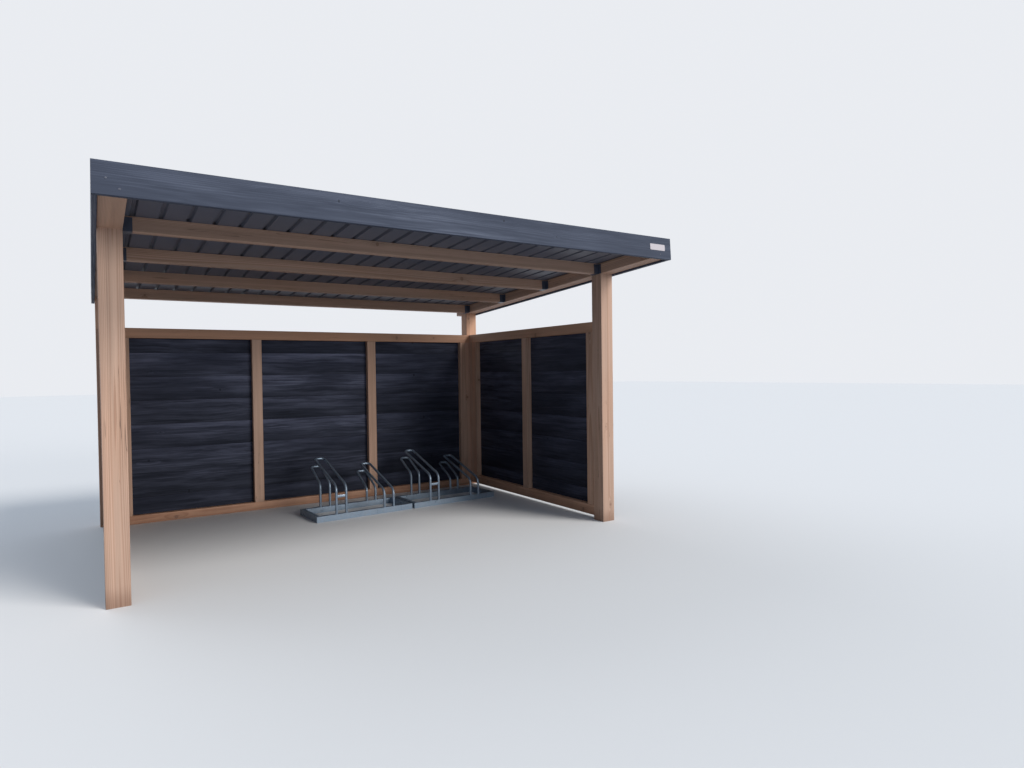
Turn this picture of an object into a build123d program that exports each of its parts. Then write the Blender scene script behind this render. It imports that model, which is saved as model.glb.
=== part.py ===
from build123d import *
from math import cos, radians, sin, tan
import os

# An open-fronted bike shelter of planed timber with black boarded walls and a
# single-pitch roof of ribbed steel sheet that falls to the back.
# Millimetres. X runs along the front, Y runs from the front to the back, Z is up.
# While it is drawn, Y is 0 at the front face of the front posts. At the end the whole
# shelter is shifted so that the origin is the middle of its footprint, on the ground.

# Posts and plan
clear_width = 2810.0          # between the inner faces of the left and right posts
post_size = 100.0             # square section
post_edge_radius = 3.0
timber_easing = 2.0           # planed off the long edges of all the other timbers
rear_post_front = 1906.0      # front face of the rear posts

# Roof frame, measured along and square to the roof
roof_pitch = 3.6              # degrees, falling to the back
beam_underside_front = 1707.0  # height of the side beams' underside at the front posts
beam_width = 100.0            # as wide as the posts, so that the fascias pass both
beam_height = 70.0
front_overhang = 508.0        # from the front posts to the beams' front ends
rear_overhang = 90.0          # from the back of the rear posts to the beams' rear ends
purlin_width = 45.0
purlin_count = 4
first_purlin = 23.0           # front face of the first purlin behind the front posts' face

# Steel hangers that carry the purlins on the side beams
hanger_steel = 2.0
hanger_seat = 40.0            # how far the seat reaches under the purlin
hanger_height = 64.0
hanger_wing = 24.0            # width of each wing fixed to the beam

# Fascia boards
fascia_thickness = 20.0
fascia_drop = 12.0            # how far the boards reach below the beams
fascia_height = 133.0

# Ribbed roof sheets
sheet_steel = 1.0
rib_pitch = 115.5
first_rib = 138.0             # from the cover's left edge to the middle of the first rib
rib_height = 14.0
rib_top = 13.0
rib_base = 25.0
sheets = 3
sheet_front_gap = 3.0         # behind the front fascia
sheet_side_gap = 3.0          # beside the side fascias
sheet_rear_drip = 45.0        # past the rear ends of the beams

# Wall frames
timber_depth = 45.0           # thickness of rails and studs through the wall
timber_width = 70.0           # face width of rails and studs
corner_width = 95.0           # face width of the studs in the rear corners
wall_top = 1382.0
side_wall_gap = 30.0          # daylight under the side walls
back_sill_height = 60.0       # the back wall's bottom rail stands on the ground
back_stud_offset = 461.0      # from the middle of the back wall to each middle stud
cladding_thickness = 24.0     # the thick lower edge of a lapped board
back_cladding_gap = 8.0       # under the boards of the back wall

# Floor racks, each with a high place on the left and a low one on the right
rack_length = 746.0
rack_depth = 348.0
rack_turn = 3.8               # degrees that the row of racks is turned on the ground
rack_from_wall = 128.0        # from the right wall to the row's right end
rack_from_back = 301.0        # from the back wall's frame to the right rack's rear rail
rack_side_gap = 19.0          # between the ends of the two racks
rail_width = 30.0
rail_height = 42.0
place_pitch = 373.0
leg_spacing = 74.0
tube_diameter = 18.0
tube_sides = 12
knee_radius = 55.0
crown_radius = 24.0
front_knee_height = 240.0     # heights of the high place's hoops
front_reach = 430.0           # how far the front hoop leans back
front_top = 391.0
rear_knee_height = 213.0
rear_reach = 192.0
rear_top = 322.0
low_place_drop = 72.0         # how much lower the low place's hoops are
crosspiece_height = 166.0     # middle of the flat bar between the high front legs
crosspiece_width = 18.0
crosspiece_thickness = 5.0

# Worked out from the sizes above
fall = tan(radians(roof_pitch))
half_clear = clear_width / 2
rear_post_back = rear_post_front + post_size
back_frame_front = rear_post_front - timber_depth
beam_front = -front_overhang / cos(radians(roof_pitch))
beam_rear = (rear_post_back + rear_overhang) / cos(radians(roof_pitch))
roof_half_width = half_clear + beam_width
cover_half_width = roof_half_width - sheet_side_gap
rib_count = 1 + int((2 * cover_half_width - first_rib - rib_base) / rib_pitch)
roof_plane = Location((0, 0, beam_underside_front), (-roof_pitch, 0, 0))
pieces = {}


def block(x, y, z):
    """A box from its lowest to its highest corner along each axis."""
    size = (x[1] - x[0], y[1] - y[0], z[1] - z[0])
    middle = ((x[0] + x[1]) / 2, (y[0] + y[1]) / 2, (z[0] + z[1]) / 2)
    return Pos(*middle) * Box(*size)


def timber(x, y, z):
    """A box like block's with its four long edges planed off a little."""
    lengths = [x[1] - x[0], y[1] - y[0], z[1] - z[0]]
    grain = (Axis.X, Axis.Y, Axis.Z)[lengths.index(max(lengths))]
    return chamfer(block(x, y, z).edges().filter_by(grain), timber_easing)


def roof_timber(x, along, above):
    """A timber in the roof's own sloping frame: along the fall and square to it."""
    return roof_plane * timber(x, along, above)


def mirrored(x, side):
    """An X range given for the right half, on side 1 for right or -1 for left."""
    return tuple(sorted((x[0] * side, x[1] * side)))


def post(side, front):
    """A square post with eased edges, its top cut to the fall of the roof."""
    x = mirrored((half_clear, half_clear + post_size), side)
    full = block(x, (front, front + post_size), (0, beam_underside_front + post_size))
    eased = fillet(full.edges().filter_by(Axis.Z), post_edge_radius)
    reach = rear_post_back + post_size
    above_roof = block((-clear_width, clear_width), (-reach, 2 * reach), (0, 3 * post_size))
    return eased - roof_plane * above_roof


def hanger(side, start):
    """A folded steel saddle: two cheeks and a seat round the purlin, and two wings."""
    face = half_clear
    outer = (start - hanger_steel, start + purlin_width + hanger_steel)
    cheeks = block(mirrored((face - hanger_seat, face), side), outer, (-hanger_steel, hanger_height))
    purlin_room = block(
        mirrored((face - 2 * hanger_seat, face + hanger_seat), side),
        (start, start + purlin_width),
        (0, 2 * hanger_height),
    )
    wings = block(
        mirrored((face - hanger_steel, face), side),
        (outer[0] - hanger_wing, outer[1] + hanger_wing),
        (0, hanger_height),
    )
    return roof_plane * (cheeks + wings - purlin_room)


def rib_outline(centre, lift):
    """The four lower corners of a rib whose steel lies lift outside the plain rib."""
    run = (rib_base - rib_top) / 2
    leg = (run ** 2 + rib_height ** 2) ** 0.5
    foot = rib_base / 2 + lift * leg / rib_height
    crown = rib_top / 2 + lift * (leg - run) / rib_height
    top = rib_height + lift
    return [(centre - foot, 0), (centre - crown, top), (centre + crown, top), (centre + foot, 0)]


def halfway(a, b):
    return ((a[0] + b[0]) / 2, (a[1] + b[1]) / 2)


def thickened(line, thickness):
    """A closed outline between a line and the same line moved up by a steel thickness."""
    normals = []
    for a, b in zip(line, line[1:]):
        length = ((b[0] - a[0]) ** 2 + (b[1] - a[1]) ** 2) ** 0.5
        normals.append(((a[1] - b[1]) / length, (b[0] - a[0]) / length))
    upper = []
    for i, point in enumerate(line):
        before = normals[max(i - 1, 0)]
        after = normals[min(i, len(normals) - 1)]
        spread = 1 + before[0] * after[0] + before[1] * after[1]
        shift = ((before[0] + after[0]) / spread, (before[1] + after[1]) / spread)
        upper.append((point[0] + thickness * shift[0], point[1] + thickness * shift[1]))
    return line + upper[::-1]


def roof_sheet(first, last, laps_over, is_lapped):
    """One ribbed sheet from rib first to rib last, lapped by half a rib at its sides."""
    line = [] if laps_over else [(-cover_half_width, 0)]
    for rib in range(first, last + 1):
        centre = first_rib + rib * rib_pitch - cover_half_width
        rib_line = rib_outline(centre, sheet_steel if laps_over and rib == first else 0)
        if laps_over and rib == first:
            rib_line[0] = halfway(rib_line[0], rib_line[1])
        if is_lapped and rib == last:
            rib_line[3] = halfway(rib_line[2], rib_line[3])
        line += rib_line
    if not is_lapped:
        line.append((cover_half_width, 0))
    start = beam_front + sheet_front_gap
    profile = make_face(Polyline(*[(x, z + beam_height) for x, z in thickened(line, sheet_steel)], close=True))
    length = beam_rear + sheet_rear_drip - start
    upright = Plane.XZ.offset(-start) * profile
    return roof_plane * extrude(upright, -length)


def hoop(centre, base, knee, reach, top):
    """A bent tube: up from the rail, leaning back beside the wheel, and down again."""
    left = centre - leg_spacing / 2
    right = centre + leg_spacing / 2
    path = FilletPolyline(
        (left, base, rail_height),
        (left, base, knee),
        (left, base + reach, top),
        (right, base + reach, top),
        (right, base, knee),
        (right, base, rail_height),
        radius=[knee_radius, crown_radius, crown_radius, knee_radius],
    )
    section = Plane(origin=path @ 0, z_dir=path % 0) * RegularPolygon(tube_diameter / 2, tube_sides)
    return sweep(section, path=path)


# Posts
for name, side in (("right", 1), ("left", -1)):
    pieces["post_front_" + name] = post(side, 0)
    pieces["post_rear_" + name] = post(side, rear_post_front)

# Side beams on the posts
for name, side in (("right", 1), ("left", -1)):
    beam_x = mirrored((half_clear, half_clear + beam_width), side)
    pieces["side_beam_" + name] = roof_timber(beam_x, (beam_front, beam_rear), (0, beam_height))

# Purlins between the side beams, the last one over the back wall's frame
purlin_step = (back_frame_front - first_purlin) / (purlin_count - 1) / cos(radians(roof_pitch))
purlin_starts = [first_purlin + purlin_step * i for i in range(purlin_count)]
for number, start in enumerate(purlin_starts, 1):
    purlin_along = (start, start + purlin_width)
    pieces[f"purlin_{number}"] = roof_timber((-half_clear, half_clear), purlin_along, (0, beam_height))
for name, side in (("right", 1), ("left", -1)):
    pieces["joist_hangers_" + name] = Compound([hanger(side, start) for start in purlin_starts])

# Fascia boards
fascia_above = (-fascia_drop, fascia_height - fascia_drop)
fascia_x = (roof_half_width, roof_half_width + fascia_thickness)
pieces["fascia_front"] = roof_timber(
    (-fascia_x[1], fascia_x[1]), (beam_front - fascia_thickness, beam_front), fascia_above
)
for name, side in (("right", 1), ("left", -1)):
    pieces["fascia_" + name] = roof_timber(mirrored(fascia_x, side), (beam_front, beam_rear), fascia_above)

# Roof sheets, each lapping over the rib at the edge of the one before
lap_ribs = [round(rib_count * i / sheets) - (1 if i else 0) for i in range(sheets + 1)]
sheet_names = ["left", "middle", "right"]
for i in range(sheets):
    pieces["roof_sheet_" + sheet_names[i]] = roof_sheet(
        lap_ribs[i], lap_ribs[i + 1], laps_over=i > 0, is_lapped=i < sheets - 1
    )

# Back wall frame and boards
back_y = (back_frame_front, rear_post_front)
rail_z = (wall_top - timber_width, wall_top)
stud_z = (back_sill_height, wall_top - timber_width)
pieces["back_top_rail"] = timber((-half_clear, half_clear), back_y, rail_z)
pieces["back_bottom_rail"] = timber((-half_clear, half_clear), back_y, (0, back_sill_height))
for name, side in (("right", 1), ("left", -1)):
    middle_x = mirrored((back_stud_offset - timber_width / 2, back_stud_offset + timber_width / 2), side)
    corner_x = mirrored((half_clear - corner_width, half_clear), side)
    pieces["back_stud_" + name] = timber(middle_x, back_y, stud_z)
    pieces["back_corner_stud_" + name] = timber(corner_x, back_y, stud_z)
boards_y = (rear_post_front, rear_post_front + cladding_thickness)
pieces["back_cladding"] = block((-half_clear, half_clear), boards_y, (back_cladding_gap, wall_top))

# Side wall frames and boards, between the front and rear posts
side_start = post_size
corner_start = rear_post_front - corner_width
side_middle = (side_start + corner_start) / 2
side_stud_z = (side_wall_gap + timber_width, wall_top - timber_width)
side_rail_y = (side_start, corner_start)
for name, side in (("right", 1), ("left", -1)):
    frame_x = mirrored((half_clear, half_clear + timber_depth), side)
    boards_x = mirrored((half_clear + timber_depth, half_clear + timber_depth + cladding_thickness), side)
    side_rail_z = (side_wall_gap, side_wall_gap + timber_width)
    pieces[name + "_top_rail"] = timber(frame_x, side_rail_y, rail_z)
    pieces[name + "_bottom_rail"] = timber(frame_x, side_rail_y, side_rail_z)
    stud_starts = {
        "_front_stud": side_start,
        "_middle_stud": side_middle - timber_width / 2,
        "_rear_stud": corner_start - timber_width,
    }
    for part, start in stud_starts.items():
        pieces[name + part] = timber(frame_x, (start, start + timber_width), side_stud_z)
    corner_y = (corner_start, rear_post_front)
    pieces[name + "_corner_stud"] = timber(frame_x, corner_y, (side_wall_gap, wall_top))
    pieces[name + "_cladding"] = block(boards_x, (side_start, rear_post_front), (side_wall_gap, wall_top))

# Floor racks: a flat frame of box rails with two leaning hoops in front and two behind,
# drawn round the middle of the front rail and then set in its place
rack_half = rack_length / 2
outside = block((-rack_half, rack_half), (0, rack_depth), (0, rail_height))
inside = block(
    (-rack_half + rail_width, rack_half - rail_width),
    (rail_width, rack_depth - rail_width),
    (-rail_height, 2 * rail_height),
)
front_base = rail_width / 2
rear_base = rack_depth - rail_width / 2
places = [(-place_pitch / 2, 0), (place_pitch / 2, low_place_drop)]
front_hoops = [
    hoop(x, front_base, front_knee_height - drop, front_reach, front_top - drop) for x, drop in places
]
rear_hoops = [
    hoop(x, rear_base, rear_knee_height - drop, rear_reach, rear_top - drop) for x, drop in places
]
crosspiece = Pos(places[0][0], front_base, crosspiece_height) * Box(
    leg_spacing, crosspiece_thickness, crosspiece_width
)
row_end = Pos(
    half_clear - rack_from_wall - rack_half, back_frame_front - rack_from_back - rack_depth, 0
) * Rot(Z=rack_turn)
for name, step in (("right", 0), ("middle", rack_length + rack_side_gap)):
    stand = row_end * Pos(-step, 0, 0)
    pieces[f"rack_{name}_base"] = stand * (outside - inside)
    pieces[f"rack_{name}_front_hoops"] = stand * Compound([front_hoops[0] + crosspiece, front_hoops[1]])
    pieces[f"rack_{name}_rear_hoops"] = stand * Compound(rear_hoops)

# Shift to the middle of the footprint and write one file for each piece
footprint = Compound([pieces["fascia_front"], pieces["roof_sheet_middle"]]).bounding_box()
to_origin = Pos(0, -(footprint.min.Y + footprint.max.Y) / 2, 0)
os.makedirs("parts", exist_ok=True)
for name, solid in pieces.items():
    export_step(to_origin * solid, f"parts/{name}.step")
print(len(pieces), "pieces, overall", footprint.size)
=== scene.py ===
"""An open-fronted bike shelter: its boards, tubes, fasteners and finishes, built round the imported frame.

Metres. X runs to the right along the open front, Y from the front to the back wall and Z up.
"""

import math
from functools import partial

import bpy
import numpy as np
from mathutils import Matrix, Vector


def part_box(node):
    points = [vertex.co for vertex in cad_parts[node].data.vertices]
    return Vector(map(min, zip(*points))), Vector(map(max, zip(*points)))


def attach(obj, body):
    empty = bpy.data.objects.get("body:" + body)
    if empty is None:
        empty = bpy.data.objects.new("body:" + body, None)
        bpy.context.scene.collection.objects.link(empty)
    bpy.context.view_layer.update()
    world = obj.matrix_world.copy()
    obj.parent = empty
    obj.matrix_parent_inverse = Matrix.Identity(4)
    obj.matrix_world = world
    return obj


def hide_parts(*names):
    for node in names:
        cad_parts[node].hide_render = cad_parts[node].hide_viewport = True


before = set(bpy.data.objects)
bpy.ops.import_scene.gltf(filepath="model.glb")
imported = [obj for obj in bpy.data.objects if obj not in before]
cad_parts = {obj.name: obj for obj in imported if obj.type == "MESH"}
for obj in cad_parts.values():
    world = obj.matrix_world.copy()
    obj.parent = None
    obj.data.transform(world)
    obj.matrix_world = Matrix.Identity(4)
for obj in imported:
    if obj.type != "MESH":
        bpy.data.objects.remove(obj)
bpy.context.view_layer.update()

bl_info = {
    "name": "Bike shelter",
    "version": (1, 0, 0),
    "blender": (4, 5, 0),
    "location": "View3D > Sidebar > Shelter",
    "description": "Lapped boards, bent tubes, fasteners and finishes of a timber bike shelter",
    "category": "Add Mesh",
}


def nodes_named(starts, ends=()):
    """The frame's nodes whose names start or end so, in alphabetical order."""
    return sorted(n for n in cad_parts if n.startswith(starts) or n.endswith(ends))


# The shelter's main lines, read from the frame
SIDES = (("right", 1), ("left", -1))
POST_LOW, POST_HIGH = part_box("post_front_right")
REAR_POST_LOW, REAR_POST_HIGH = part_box("post_rear_right")
HALF_CLEAR = POST_LOW.x
PITCH = math.atan((POST_HIGH.z - REAR_POST_HIGH.z) / (REAR_POST_LOW.y - POST_LOW.y))
PURLINS = nodes_named("purlin")
FASCIAS = nodes_named("fascia")
ROOF_SHEETS = nodes_named("roof_sheet")
TIMBERS = nodes_named(("post", "purlin", "side_beam"), ("rail", "stud", "stud_right", "stud_left"))
RACKS = ("middle", "right")

# Sections that lie square to the sloping roof, so that no box gives them
PURLIN_WIDTH = 0.045
BEAM_HEIGHT = 0.070

# Unit vectors square to the roof and down its fall
ROOF_UP = np.array([0.0, math.sin(PITCH), math.cos(PITCH)])
DOWN_FALL = np.array([0.0, math.cos(PITCH), -math.sin(PITCH)])


def roof_points(x, along, above):
    """Points given by how far down the roof's fall and how far above the beams' underside they lie.

    Y is along times the cosine of the pitch plus above times its sine, from the front posts'
    front face, and Z is above times the cosine less along times the sine.
    """
    x, along, above = np.broadcast_arrays(np.asarray(x, float), along, above)
    y = POST_LOW.y + along * math.cos(PITCH) + above * math.sin(PITCH)
    z = POST_HIGH.z - along * math.sin(PITCH) + above * math.cos(PITCH)
    return np.stack([x, y, z], -1)


def roof_along(y):
    """How far along the fall a point of the beams' underside lies, from its Y."""
    return (y - POST_LOW.y) / math.cos(PITCH)


# How far down the fall each purlin's front face lies
PURLIN_STARTS = np.array([roof_along(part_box(node)[0].y) for node in PURLINS])


def middle_of(node):
    """The middle of a node's box."""
    return sum(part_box(node), Vector()) / 2


def number_field(name, description, default, unit="NONE"):
    """A property for a number, or for three of them."""
    kind = bpy.props.FloatVectorProperty if isinstance(default, tuple) else bpy.props.FloatProperty
    return kind(name=name, description=description, default=default, unit=unit)


length_field = partial(number_field, unit="LENGTH")
angle_field = partial(number_field, unit="ROTATION")


def colour_field(name, description, default):
    """A property for a colour."""
    return bpy.props.FloatVectorProperty(name=name, description=description, default=default, subtype="COLOR")


class BoardSizes(bpy.types.PropertyGroup):
    """The lapped boards of the three walls."""

    count: bpy.props.IntProperty(
        name="Boards", description="Boards in the height of a wall", default=8, min=1
    )
    set_down: length_field(
        "Set down", "How much narrower the lowest board is cut, and wider the top one", 0.011
    )
    lap: length_field("Lap", "How far a board reaches behind the one above", 0.010)
    thick_edge: length_field("Lower edge", "Thickness of a board's lower edge", 0.024)
    thin_edge: length_field("Upper edge", "Thickness of a board's upper edge", 0.0115)
    round_over: length_field("Round-over", "Radius of the lower outer edge", 0.0035)
    play: length_field("Play", "Room between a board and its neighbour's rebate", 0.0012)
    bow: length_field("Bow", "Most that a board bows out between its nails", 0.0009)
    # Painted reflection: part of the blue in the stain and streak colours stands in for the sky reflected in
    # the boards' sheen
    stain: colour_field("Stain", "Colour of the stain", (0.0112, 0.0130, 0.0225))
    streak: colour_field("Streak", "Colour where the stain is thin", (0.070, 0.077, 0.120))


class TimberLook(bpy.types.PropertyGroup):
    """The planed softwood of the posts, beams, purlins, rails and studs."""

    early_wood: colour_field("Early wood", "Colour of the wide soft rings", (0.545, 0.360, 0.270))
    late_wood: colour_field("Late wood", "Colour of the narrow hard rings", (0.400, 0.230, 0.158))
    knot_wood: colour_field("Knots", "Colour of the knots", (0.215, 0.110, 0.070))
    # Painted light: this warm tint on the rails and rear posts stands in for the warm light that falls on
    # them, not for redder heartwood.
    warm_light_tint: number_field(
        "Red heart", "Tint of the timbers cut from the redder heart of the log", (1.02, 0.91, 0.82)
    )
    ring_width: length_field("Ring width", "Width of a year's growth", 0.0042)
    knot_spacing: length_field("Knot spacing", "Length of timber to each branch", 0.45)
    knot_radius: length_field("Knot radius", "Radius of a middling knot", 0.0075)


class FasciaLook(bpy.types.PropertyGroup):
    """The stained boards round the roof and the plate on the front one."""

    # Painted reflection: part of the blue in these colours stands in for the sky reflected in the stain's
    # sheen
    stain: colour_field("Stain", "Colour of the weathered stain", (0.038, 0.046, 0.071))
    worn: colour_field("Worn", "Colour where the grain is worn", (0.066, 0.079, 0.119))
    plate_width: length_field("Plate width", "Width of the blank plate", 0.124)
    plate_height: length_field("Plate height", "Height of the blank plate", 0.038)
    plate_from_end: length_field("Plate from end", "From the fascia's right end to the plate", 0.052)


class RoofLook(bpy.types.PropertyGroup):
    """The ribbed sheets and their screws."""

    coat: colour_field("Coat", "Colour of the sheets' coat", (0.112, 0.123, 0.168))
    dust: colour_field("Dust", "Colour of the dust on the coat", (0.215, 0.205, 0.195))
    rib_pitch: length_field("Rib pitch", "From one rib to the next", 0.1155)
    first_rib: length_field("First rib", "From the cover's left edge to the first rib", 0.138)
    steel: length_field("Steel", "Thickness of the sheets", 0.001)


class RackSizes(bpy.types.PropertyGroup):
    """The bent tubes of the floor racks, with the same sizes as their solids."""

    turn: angle_field("Turn", "Turn of the row of racks on the ground", math.radians(3.8))
    depth: length_field("Depth", "Depth of a rack", 0.348)
    rail_width: length_field("Rail width", "Width of a rail", 0.030)
    place_pitch: length_field("Place pitch", "From one place to the next", 0.373)
    leg_spacing: length_field("Leg spacing", "Between the middles of a hoop's legs", 0.074)
    tube: length_field("Tube", "Diameter of the tube", 0.018)
    knee_radius: length_field("Knee radius", "Radius of the lower bends", 0.055)
    crown_radius: length_field("Crown radius", "Radius of the upper bends", 0.024)
    front_hoop: length_field(
        "Front hoop", "Height of the knee, reach back and height of the crown", (0.240, 0.430, 0.391)
    )
    rear_hoop: length_field(
        "Rear hoop", "Height of the knee, reach back and height of the crown", (0.213, 0.192, 0.322)
    )
    low_place_drop: length_field("Drop", "How much lower the low place's hoops are", 0.072)
    crosspiece: length_field(
        "Crosspiece", "Height of its middle, its width and its thickness", (0.166, 0.018, 0.005)
    )
    # Painted shade: the zinc colour is darkened and blued for the bluish shade the racks stand in
    zinc: colour_field("Zinc", "Colour of the zinc", (0.250, 0.325, 0.420))


class StageLook(bpy.types.PropertyGroup):
    """The camera, lamps and floor."""

    eye: length_field(
        "Eye", "Camera from the inner front corner of the right front post", (-2.945, -3.435, 1.045)
    )
    heading: angle_field("Heading", "Turn to the right of straight ahead", 0.5720)
    tilt: angle_field("Tilt", "Tilt above the horizon", -0.0195)
    roll: angle_field("Roll", "Roll about the line of sight", -0.0125)
    focal_pixels: number_field("Focal length", "Focal length in pixels of the picture", 654.2)
    picture_width: number_field("Picture width", "Width of the picture in pixels", 1024.0)
    key: number_field("Key", "Strength of the high lamp in front", 1.9)
    low: number_field("Low", "Strength of the low lamp in front", 1.15)
    back: number_field("Back", "Strength of the lamp behind", 0.8)
    ambient: number_field("Ambient", "Strength of the light all round", 0.54)
    ambient_shade: colour_field("Ambient colour", "Colour of the light all round", (0.73, 0.85, 1.0))
    backdrop_shade: colour_field("Backdrop", "Colour of the backdrop", (0.82, 0.84, 0.88))
    floor_shade: colour_field("Floor", "Colour of the floor", (0.745, 0.750, 0.765))


def node_method(operation, reflected=False):
    """A method of Term that adds the Math or Vector Math node of one operation."""

    def method(self, other):
        left, right = (other, self) if reflected else (self, other)
        vector = any(t.is_vector if isinstance(t, Term) else not np.isscalar(t) for t in (left, right))
        kind = "ShaderNodeVectorMath" if vector else "ShaderNodeMath"
        return self.finish.add(kind, {"operation": operation}, {0: left, 1: right})

    return method


class Term:
    """A shader socket in a formula: each operator adds one Math or Vector Math node."""

    def __init__(self, finish, node, output=0):
        self.finish = finish
        self.node = node
        self.socket = node.outputs[output]
        self.is_vector = self.socket.type in {"VECTOR", "RGBA"}

    __add__, __radd__ = node_method("ADD"), node_method("ADD", reflected=True)
    __sub__, __rsub__ = node_method("SUBTRACT"), node_method("SUBTRACT", reflected=True)
    __mul__, __rmul__ = node_method("MULTIPLY"), node_method("MULTIPLY", reflected=True)
    __truediv__, __rtruediv__ = node_method("DIVIDE"), node_method("DIVIDE", reflected=True)
    at_least = node_method("MAXIMUM")

    def wave(self, operation):
        """The sine, cosine, floor, fraction, square root or size of a value."""
        return self.finish.add("ShaderNodeMath", {"operation": operation}, {0: self})

    def __abs__(self):
        return self.wave("ABSOLUTE")

    def rise(self, low, high):
        """0 below low and 1 above high, with a smooth step between them."""
        return self.finish.add(
            "ShaderNodeMapRange", {"interpolation_type": "SMOOTHSTEP"}, {0: self, 1: low, 2: high}
        )

    def parts(self):
        """The three parts of a vector or colour."""
        split = self.finish.add("ShaderNodeSeparateXYZ", {}, {0: self}).node
        return tuple(Term(self.finish, split, i) for i in range(3))


class NodeWork:
    """A node tree under construction."""

    def __init__(self, owner):
        owner.use_nodes = True
        self.tree = owner.node_tree

    def add(self, kind, settings=None, values=None, output=0):
        """One node: its settings first, then the values or links of its sockets."""
        node = self.tree.nodes.new(kind)
        for key, value in (settings or {}).items():
            setattr(node, key, value)
        for key, value in (values or {}).items():
            self.feed(node.inputs[key], value)
        return Term(self, node, output)

    def feed(self, socket, value):
        """Links a term to a socket, or sets the socket to a number, vector or colour."""
        if isinstance(value, Term):
            self.tree.links.new(value.socket, socket)
        elif socket.type == "RGBA":
            socket.default_value = (*np.broadcast_to(value, 3), 1.0)
        elif socket.type == "VECTOR":
            socket.default_value = tuple(np.broadcast_to(value, 3))
        else:
            socket.default_value = value

    def looked_at(self):
        """1 for what the camera sees, straight or in gloss or glass, and 0 for light."""
        rays = ("Camera", "Glossy", "Transmission")
        camera, gloss, glass = [self.add("ShaderNodeLightPath", output=f"Is {ray} Ray") for ray in rays]
        return camera.at_least(gloss).at_least(glass)

    def surface(self, shader):
        """Makes a shader the tree's result."""
        end = next(node for node in self.tree.nodes if node.type.startswith("OUTPUT"))
        self.tree.links.new(shader.socket, end.inputs["Surface"])


class Finish(NodeWork):
    """A node material under construction."""

    def __init__(self, name):
        self.material = bpy.data.materials.new(name)
        super().__init__(self.material)
        self.shader = self.tree.nodes["Principled BSDF"]

    def place(self):
        """Object coordinates."""
        return self.add("ShaderNodeTexCoord", output="Object")

    def attribute(self, name, output):
        """A mesh's own value at each point: output 1 for a vector and 2 for a number."""
        return self.add("ShaderNodeAttribute", {"attribute_name": name}, output=output)

    def dice(self, number, output=0):
        """A random value for each whole number, or with output 1 three of them."""
        return self.add("ShaderNodeTexWhiteNoise", {"noise_dimensions": "1D"}, {"W": number}, output)

    def noise(self, place, scale, detail=2.0, roughness=0.5, output=0):
        """Fractal noise from 0 to 1 with scale waves to the metre, or with output 1 three of them."""
        values = {"Vector": place * scale, "Scale": 1.0, "Detail": detail, "Roughness": roughness}
        return self.add("ShaderNodeTexNoise", {}, values, output)

    def crystals(self, place, scale):
        """A random value for each cell of a Voronoi pattern with scale cells to the metre."""
        return self.add("ShaderNodeTexVoronoi", {}, {"Vector": place, "Scale": scale}, output=1).parts()[0]

    def blend(self, factor, first, second):
        """Mixes two colours."""
        return self.add("ShaderNodeMix", {"data_type": "RGBA"}, {0: factor, 6: first, 7: second}, output=2)

    def bump(self, height, depth, strength):
        """A surface that rises by height times depth."""
        values = {"Strength": strength, "Distance": depth, "Height": height}
        return self.add("ShaderNodeBump", {}, values)

    def done(self, **sockets):
        """Feeds the shader's sockets and returns the material; an underscore stands for a space."""
        for key, value in sockets.items():
            self.feed(self.shader.inputs[key.replace("_", " ")], value)
        return self.material


# The figure of softwood
GRAIN_SWING = 0.022     # how far the grain wanders from straight
RING_SWERVE = 0.006     # how far a ring turns aside round a knot
BRANCH_GROWTH = 0.05    # distance from the pith at which a branch is full grown
LEAST_KNOT = 0.0002


def wood_figure(finish, place, ring_width, knot_spacing, knot_radius, seed):
    """Softwood as a solid round a pith along the Z of place.

    A ring's number is the distance from the pith over the ring width, after a noise stretched
    along the grain has bent the place. Each stretch of the length holds one knot: a branch that
    runs out from the pith at a random angle and widens. The rings swerve round it in a long spindle.
    """
    bend = finish.noise(place, (5.0, 5.0, 0.7), 1.0, output=1) - 0.5
    across, deep, along = (place + bend * (GRAIN_SWING, GRAIN_SWING, 0.0)).parts()
    number = (along / knot_spacing).wave("FLOOR")
    angle_dice, height_dice, size_dice = finish.dice(number + seed, output=1).parts()
    rise = along - (number + 0.25 + 0.5 * height_dice) * knot_spacing
    angle = angle_dice * (2 * math.pi)
    cosine, sine = angle.wave("COSINE"), angle.wave("SINE")
    outward = across * cosine + deep * sine
    sideways = deep * cosine - across * sine
    growth = outward.rise(-0.002, BRANCH_GROWTH) * (0.35 + 1.1 * size_dice)
    radius = (growth * knot_radius).at_least(LEAST_KNOT)
    near = (sideways * sideways + rise * rise).wave("SQRT") / radius
    spindle = (sideways * sideways + rise * rise * 0.1).wave("SQRT") / radius
    swerve = 1.0 - spindle.rise(0.3, 3.2)
    distance = (across * across + deep * deep).wave("SQRT") - swerve * RING_SWERVE
    season = (distance / ring_width).wave("FRACT")
    return {
        "late": season.rise(0.25, 0.9) * (1.0 - season.rise(0.92, 1.0)),
        "knot": 1.0 - near.rise(0.8, 1.05),
        "rim": near.rise(0.6, 0.95) * (1.0 - near.rise(1.0, 1.5)),
        "swerve": swerve,
        "fibre": finish.noise(place, (420.0, 420.0, 9.0)),
        "streak": finish.noise(place, (34.0, 34.0, 0.8), 3.0, 0.6),
        "patch": finish.noise(place, (7.0, 7.0, 1.3)),
    }


def grain_place(finish, direction, pith):
    """Object coordinates turned so that direction becomes Z and moved so that the pith is its axis."""
    turn = direction.rotation_difference(Vector((0, 0, 1))).to_matrix()
    values = {"Vector": finish.place(), "Location": -(turn @ pith), "Rotation": turn.to_euler()}
    return finish.add("ShaderNodeMapping", {"vector_type": "POINT"}, values)


def grain_direction(node):
    """The unit vector of a timber's longest side, sloped with the roof for what runs down it."""
    low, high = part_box(node)
    size = high - low
    axis = max(range(3), key=lambda i: size[i])
    if axis == 1 and node.startswith(("side_beam", "fascia")):
        return Vector(DOWN_FALL)
    return Vector([float(i == axis) for i in range(3)])


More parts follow.
